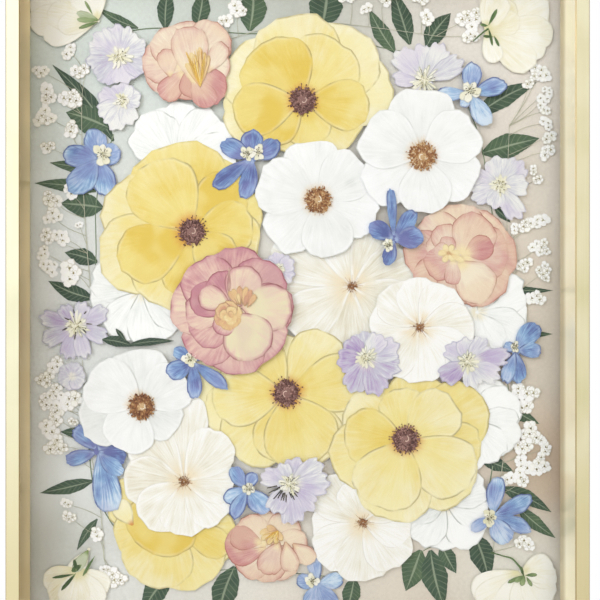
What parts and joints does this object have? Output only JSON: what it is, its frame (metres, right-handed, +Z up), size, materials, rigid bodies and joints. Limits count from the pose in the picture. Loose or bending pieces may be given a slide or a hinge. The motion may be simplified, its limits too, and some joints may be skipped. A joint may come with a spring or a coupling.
{
  "type": "pressed flower frame",
  "caption": "Slim metal picture frame with glass in front of a board that carries a dense spray of pressed flowers, buds, leaves and gypsophila.",
  "frame": {"origin": "middle notch of the wall hanger, in the plane of the wall that the frame's back touches", "axes": "+Z up, +Y into the wall, +X to the right as seen from the front"},
  "size_m": [0.404, 0.04, 0.506],
  "materials": {
    "gold_metal": "pale gold, satin to polished, with a faint brushed grain",
    "clear_glass": "clear and smooth",
    "grey_board": "matt warm grey, faintly mottled",
    "hanger_steel": "plain zinc-plated strip",
    "yellow_petal": "matt, thin, finely wrinkled, paler to the rim",
    "white_petal": "matt, thin, with faint grey veins",
    "cream_petal": "matt, thin, softly veined",
    "pink_petal": "matt, thin, peach to dusty pink with darker rims",
    "blue_petal": "matt, thin, light to violet blue with dark rims",
    "lilac_petal": "matt, thin, ridged and ruffled",
    "bud_petal": "matt, sheer cream with green sepals",
    "pressed_leaf": "matt grey-green with paler veins",
    "gypsophila_floret": "matt cream white on thin stems"
  },
  "bodies": {
    "root": {"backing_board": "grey_board", "blue_larkspur_bottom": "blue_petal", "blue_larkspur_bottom_left": "blue_petal", "blue_larkspur_low_left": "blue_petal", "blue_larkspur_low_right": "blue_petal", "blue_larkspur_middle": "blue_petal", "blue_larkspur_middle_left": "blue_petal", "blue_larkspur_right": "blue_petal", "blue_larkspur_side_right": "blue_petal", "blue_larkspur_upper_left": "blue_petal", "blue_larkspur_upper_right": "blue_petal", "cream_bloom_bottom": "cream_petal", "cream_bloom_low_left": "cream_petal", "cream_bloom_middle": "cream_petal", "cream_bloom_right": "cream_petal", "glass_pane": "clear_glass", "gypsophila_left": "gypsophila_floret", "gypsophila_lower_left": "gypsophila_floret", "gypsophila_right": "gypsophila_floret", "gypsophila_top": "gypsophila_floret", "leaf_sprig_bottom": "pressed_leaf", "leaf_sprig_left": "pressed_leaf", "leaf_sprig_lower_right": "pressed_leaf", "leaf_sprig_right": "pressed_leaf", "leaf_sprig_top": "pressed_leaf", "lilac_scabious_bottom": "lilac_petal", "lilac_scabious_floret": "lilac_petal", "lilac_scabious_left": "lilac_petal", "lilac_scabious_low_right": "lilac_petal", "lilac_scabious_middle": "lilac_petal", "lilac_scabious_right": "lilac_petal", "lilac_scabious_top_left": "lilac_petal", "lilac_scabious_top_right": "lilac_petal", "lilac_scabious_upper_left": "lilac_petal", "pink_rose_bottom": "pink_petal", "pink_rose_left": "pink_petal", "pink_rose_right": "pink_petal", "pink_rose_top": "pink_petal", "rail_bottom": "gold_metal", "rail_left": "gold_metal", "rail_right": "gold_metal", "rail_top": "gold_metal", "rosebud_bottom_left": "bud_petal", "rosebud_bottom_right": "bud_petal", "rosebud_top_left": "bud_petal", "rosebud_top_right": "bud_petal", "wall_hanger": "hanger_steel", "white_anemone_left": "white_petal", "white_anemone_middle": "white_petal", "white_anemone_right": "white_petal", "white_bloom_under_left": "white_petal", "white_bloom_under_low": "white_petal", "white_bloom_under_right": "white_petal", "white_bloom_under_side": "white_petal", "white_bloom_under_top": "white_petal", "yellow_poppy_left": "yellow_petal", "yellow_poppy_low": "yellow_petal", "yellow_poppy_middle": "yellow_petal", "yellow_poppy_right": "yellow_petal", "yellow_poppy_top": "yellow_petal"}
  },
  "joints": []
}
